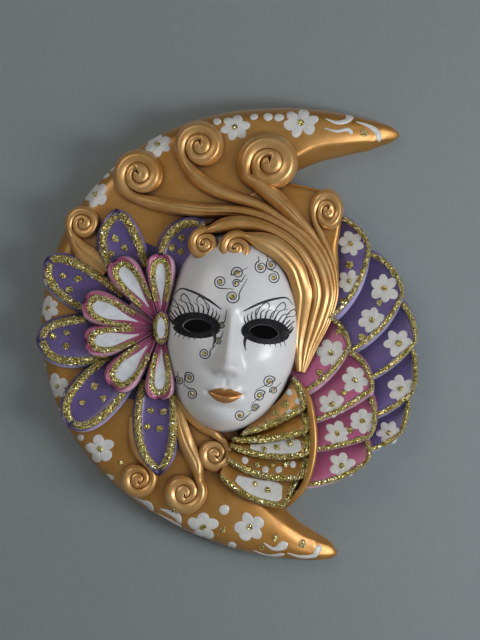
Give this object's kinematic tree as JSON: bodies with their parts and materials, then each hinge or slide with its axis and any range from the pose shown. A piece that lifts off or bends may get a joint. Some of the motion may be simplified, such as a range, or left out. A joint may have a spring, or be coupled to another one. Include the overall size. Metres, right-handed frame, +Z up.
{
  "type": "wall mask",
  "caption": "Half-moon wall mask: hollow crescent with horns, small domed face with open eyes, curled hair locks, petalled flower, nested pleated fans, and a hinged hanging eye behind.",
  "frame": {"origin": "centre of the hanging eye's hole, midway through its thickness", "axes": "+Z up as it hangs, the front faces -Y, +Y points into the wall, +X to the viewer's right"},
  "size_m": [0.2013, 0.0535, 0.2409],
  "materials": {
    "gold_lustre": "metallic gold paint under clear lacquer, darker in the hollows",
    "white_satin": "white satin lacquer with painted line work",
    "purple_pearl": "pearl lacquer, indigo in the hollows and lavender on the edges",
    "magenta_pearl": "pearl lacquer, wine in the hollows and pink on the edges",
    "pleat_gold": "metallic gold paint with white enamel fields",
    "hanger_wood": "bare sawn beech",
    "hanger_steel": "zinc plated"
  },
  "bodies": {
    "mask": {"moon_shell": "gold_lustre", "hair_cap": "gold_lustre", "gold_fan_rim": "gold_lustre", "crown_lock": "gold_lustre", "side_lock": "gold_lustre", "right_forelock": "gold_lustre", "left_forelock": "gold_lustre", "top_lock": "gold_lustre", "upper_lock": "gold_lustre", "left_lock": "gold_lustre", "lower_left_lock": "gold_lustre", "lower_middle_lock": "gold_lustre", "lower_right_lock": "gold_lustre", "face_shell": "white_satin", "outer_petal_1": "purple_pearl", "outer_petal_2": "purple_pearl", "outer_petal_3": "purple_pearl", "outer_petal_4": "purple_pearl", "outer_petal_5": "purple_pearl", "outer_petal_6": "purple_pearl", "purple_pleat_1": "purple_pearl", "purple_pleat_2": "purple_pearl", "purple_pleat_3": "purple_pearl", "purple_pleat_4": "purple_pearl", "purple_pleat_5": "purple_pearl", "inner_petal_1": "magenta_pearl", "inner_petal_2": "magenta_pearl", "inner_petal_3": "magenta_pearl", "inner_petal_4": "magenta_pearl", "inner_petal_5": "magenta_pearl", "inner_petal_6": "magenta_pearl", "pink_pleat_1": "magenta_pearl", "pink_pleat_2": "magenta_pearl", "pink_pleat_3": "magenta_pearl", "pink_pleat_4": "magenta_pearl", "flower_centre": "magenta_pearl", "gold_pleat_1": "pleat_gold", "gold_pleat_2": "pleat_gold", "gold_pleat_3": "pleat_gold", "gold_pleat_4": "pleat_gold", "gold_pleat_5": "pleat_gold", "hanger_block": "hanger_wood", "hanger_strap": "hanger_steel", "hanger_screws": "hanger_steel"},
    "ring": {"hanger_ring": "hanger_steel"}
  },
  "joints": [
    {"name": "hanger_swing", "type": "hinge", "parent": "mask", "child": "ring", "pos_m": [0, 0.0004, -0.011], "axis": [-1, 0, 0], "range_deg": [0, 160]}
  ]
}
